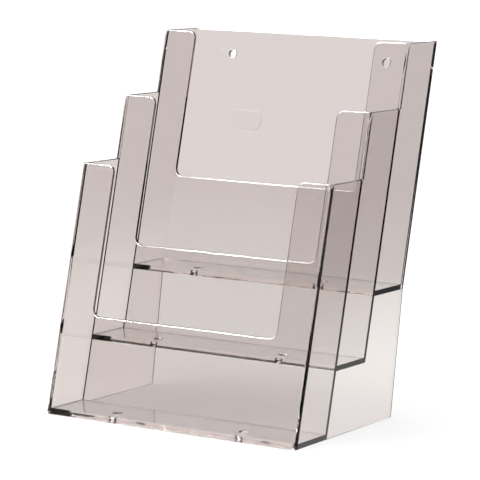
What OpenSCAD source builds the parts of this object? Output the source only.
// Three-tier counter rack for A5 leaflets and magazines, made of clear sheet panels
// bonded edge to face. X runs to the right, Y to the back, Z up, and the origin is
// at the middle of the footprint, on the surface that the rack stands on.

/* [Pockets] */
// Outer width of the rack
rack_w = 165; // [120:1:260]
// Clear depth of each pocket, front to back
pocket_depth = 31.5; // [20:0.5:60]
// Height of each pocket's walls above the underside of its floor
pocket_h = 142; // [100:0.5:240]
// How far each tier stands above the one in front of it
tier_rise = 37; // [20:0.5:60]
// Backward lean of the panels, in degrees
lean = 13.2; // [5:0.1:20]

/* [Sheet] */
// Thickness of the faces, sides and back, square to the sheet
wall = 2.4; // [1.5:0.1:5]
// Thickness of the floors
floor_t = 3; // [2:0.1:6]
// Radius of the upright front corners
corner_r = 2.2; // [0.5:0.1:4]

/* [Cut-outs] */
// Width of the flange left at each side of a cut-out
flange_w = 22; // [10:0.5:40]
// Height of the low front edge above the underside of the floor
lip_h = 57; // [30:0.5:90]
// Radius of the lower corners of a cut-out
cutout_r = 4.5; // [1:0.5:10]
// Radius of the upper inner corners of the flanges
flange_r = 4.5; // [1:0.5:8]

/* [Fixing holes] */
// Bore of the two wall holes in the back panel
wall_hole_d = 5; // [3:0.1:8]
// Distance between the centres of the wall holes
wall_hole_span = 105.5; // [50:0.5:140]
// Height of the panel's top edge above the centres of the wall holes
wall_hole_drop = 14; // [8:0.5:40]
// Bore of the two holes in each floor
floor_hole_d = 4.5; // [3:0.1:8]
// Distance between the centres of a floor's holes
floor_hole_span = 83.5; // [40:0.5:110]
// Distance from the inside of the tier's face to the centres of the floor holes
floor_hole_inset = 11; // [6:0.5:30]

/* [Rear feet] */
// How far the rear feet stand behind the line of the back panel
foot_set_back = 7.5; // [0:0.5:15]

/* [Blank mark] */
// Length of the blank raised plate on the back panel
mark_w = 22; // [12:1:40]
// Height of the blank raised plate
mark_h = 12; // [5:1:12]
// How far the plate stands proud of the panel
mark_t = 0.3; // [0.2:0.1:1]
// Height of the plate's centre above the underside of the back floor
mark_z = 89; // [20:1:95]
// Distance of the plate's centre to the right of the middle of the panel
mark_x = -37; // [-38:1:38]

/* [Hidden] */
$fn = 64;

FRONT = 0;
MIDDLE = 1;
BACK = 2;
TIERS = 3;

slope = tan(lean);
wall_y = wall / cos(lean);
pitch = pocket_depth + wall_y;
inner_w = rack_w - 2 * wall;
top_z = (TIERS - 1) * tier_rise + pocket_h;
rack_depth = TIERS * pitch + wall_y + top_z * slope;
edge_r = min(corner_r, wall - 0.2);
reach = 2 * rack_depth;

// Height of the underside of a tier's floor, of the top edge of its walls, and of the
// bottom edge of its face, which closes the floor of the tier in front
function floor_z(tier) = tier * tier_rise;
function rim_z(tier) = floor_z(tier) + pocket_h;
function foot_z(tier) = floor_z(max(tier - 1, 0));

// Depth of a tier's outer face at a height, and of its inner face
function outer_y(tier, z) = tier * pitch + z * slope - rack_depth / 2;
function inner_y(tier, z) = outer_y(tier, z) + wall_y;

// What a round of radius r takes off the corner of a square at the origin
module corner_waste(r) {
    difference() {
        translate([-1, -1]) square(r + 1);
        translate([r, r]) circle(r);
    }
}

// A slab that leans back with its outer face on the given tier's outer plane, and
// with round upright corners at the front where rounded is true
module leaning_slab(tier, rounded) {
    translate([0, outer_y(tier, 0), 0])
        rotate([-lean, 0, 0])
            translate([0, 0, -wall])
                linear_extrude(top_z / cos(lean) + 2 * wall)
                    difference() {
                        translate([-rack_w / 2, 0]) square([rack_w, wall]);
                        if (rounded)
                            for (side = [0, 1])
                                mirror([side, 0])
                                    translate([-rack_w / 2, 0]) corner_waste(edge_r);
                    }
}

// A solid with the given front outline, deep enough to cut any panel
module through_y() {
    translate([0, reach / 2, 0]) rotate([90, 0, 0]) linear_extrude(reach) children();
}

// A solid with the given side outline, between two places across the width
module along_x(x0, x1) {
    translate([x0, 0, 0]) rotate([90, 0, 90]) linear_extrude(x1 - x0) children();
}

// Front outline of a tier's face. Below the rim of the tier in front it passes
// between the side panels, and above that it is full width and stands on them.
module face_outline(tier) {
    foot = foot_z(tier);
    top = rim_z(tier);
    shoulder = tier == FRONT ? 0 : rim_z(tier - 1);
    cut_w = rack_w - 2 * flange_w;
    difference() {
        union() {
            translate([-inner_w / 2, foot]) square([inner_w, top - foot]);
            translate([-rack_w / 2, shoulder]) square([rack_w, top - shoulder]);
        }
        difference() {
            translate([-cut_w / 2, floor_z(tier) + lip_h]) square([cut_w, pocket_h]);
            for (side = [0, 1])
                mirror([side, 0])
                    translate([-cut_w / 2, floor_z(tier) + lip_h]) corner_waste(cutout_r);
        }
        for (side = [0, 1])
            mirror([side, 0])
                translate([-cut_w / 2, top]) rotate(180) corner_waste(flange_r);
    }
}

module tier_face(tier) {
    intersection() {
        leaning_slab(tier, true);
        through_y() face_outline(tier);
    }
}

// A floor fills its pocket from face to face and has a pair of holes near the front
module tier_floor(tier) {
    z0 = floor_z(tier);
    z1 = z0 + floor_t;
    difference() {
        along_x(-inner_w / 2, inner_w / 2)
            polygon([[inner_y(tier, z0), z0], [outer_y(tier + 1, z0), z0],
                     [outer_y(tier + 1, z1), z1], [inner_y(tier, z1), z1]]);
        for (side = [-1, 1])
            translate([side * floor_hole_span / 2, inner_y(tier, z1) + floor_hole_inset, z0 - 1])
                cylinder(h = floor_t + 2, d = floor_hole_d);
    }
}

// A side panel steps up behind each face. The back panel stands on its rear step,
// and below that step the rear edge runs down to a foot that is set back.
module side_panel(x0) {
    z_back = floor_z(BACK);
    along_x(x0, x0 + wall)
        polygon([for (tier = [FRONT : BACK])
                     for (z = [tier == FRONT ? 0 : rim_z(tier - 1), rim_z(tier)])
                         [inner_y(tier, z), z],
                 [outer_y(TIERS, top_z), top_z],
                 [outer_y(TIERS, z_back), z_back],
                 [inner_y(TIERS, z_back), z_back],
                 [inner_y(TIERS, 0) + foot_set_back, 0]]);
}

module left_side_panel() { color([0.86, 0.81, 0.80, 0.5]) side_panel(-rack_w / 2); }
module right_side_panel() { color([0.86, 0.81, 0.80, 0.5]) side_panel(rack_w / 2 - wall); }

module front_tier_face() { color([0.88, 0.84, 0.83, 0.5]) tier_face(FRONT); }
module middle_tier_face() { color([0.84, 0.79, 0.78, 0.5]) tier_face(MIDDLE); }
module back_tier_face() { color([0.80, 0.75, 0.74, 0.5]) tier_face(BACK); }

module front_tier_floor() { color([0.72, 0.69, 0.69, 0.6]) tier_floor(FRONT); }
module middle_tier_floor() { color([0.72, 0.69, 0.69, 0.6]) tier_floor(MIDDLE); }
module back_tier_floor() { color([0.72, 0.69, 0.69, 0.6]) tier_floor(BACK); }

// The back panel leans with the faces, and its holes are square to the sheet. The
// blank plate is rooted in the middle of the sheet, so the two are one solid.
module back_panel() {
    hole_z = top_z - wall_hole_drop;
    plate_z = floor_z(BACK) + mark_z;
    color([0.87, 0.84, 0.83, 0.5])
        difference() {
            union() {
                intersection() {
                    leaning_slab(TIERS, false);
                    through_y()
                        translate([-rack_w / 2, floor_z(BACK)])
                            square([rack_w, top_z - floor_z(BACK)]);
                }
                translate([mark_x, outer_y(TIERS, plate_z), plate_z])
                    rotate([90 - lean, 0, 0])
                        translate([0, 0, -wall / 2])
                            linear_extrude(wall / 2 + mark_t) blank_plate();
            }
            for (side = [-1, 1])
                translate([side * wall_hole_span / 2, outer_y(TIERS, hole_z), hole_z])
                    rotate([-90 - lean, 0, 0])
                        translate([0, 0, -wall])
                            cylinder(h = 3 * wall, d = wall_hole_d);
        }
}

// A plain oblong with round ends
module blank_plate() {
    straight = mark_w - mark_h;
    square([straight, mark_h], center = true);
    for (side = [-1, 1])
        translate([side * straight / 2, 0]) circle(d = mark_h);
}

left_side_panel();
right_side_panel();
front_tier_face();
middle_tier_face();
back_tier_face();
front_tier_floor();
middle_tier_floor();
back_tier_floor();
back_panel();
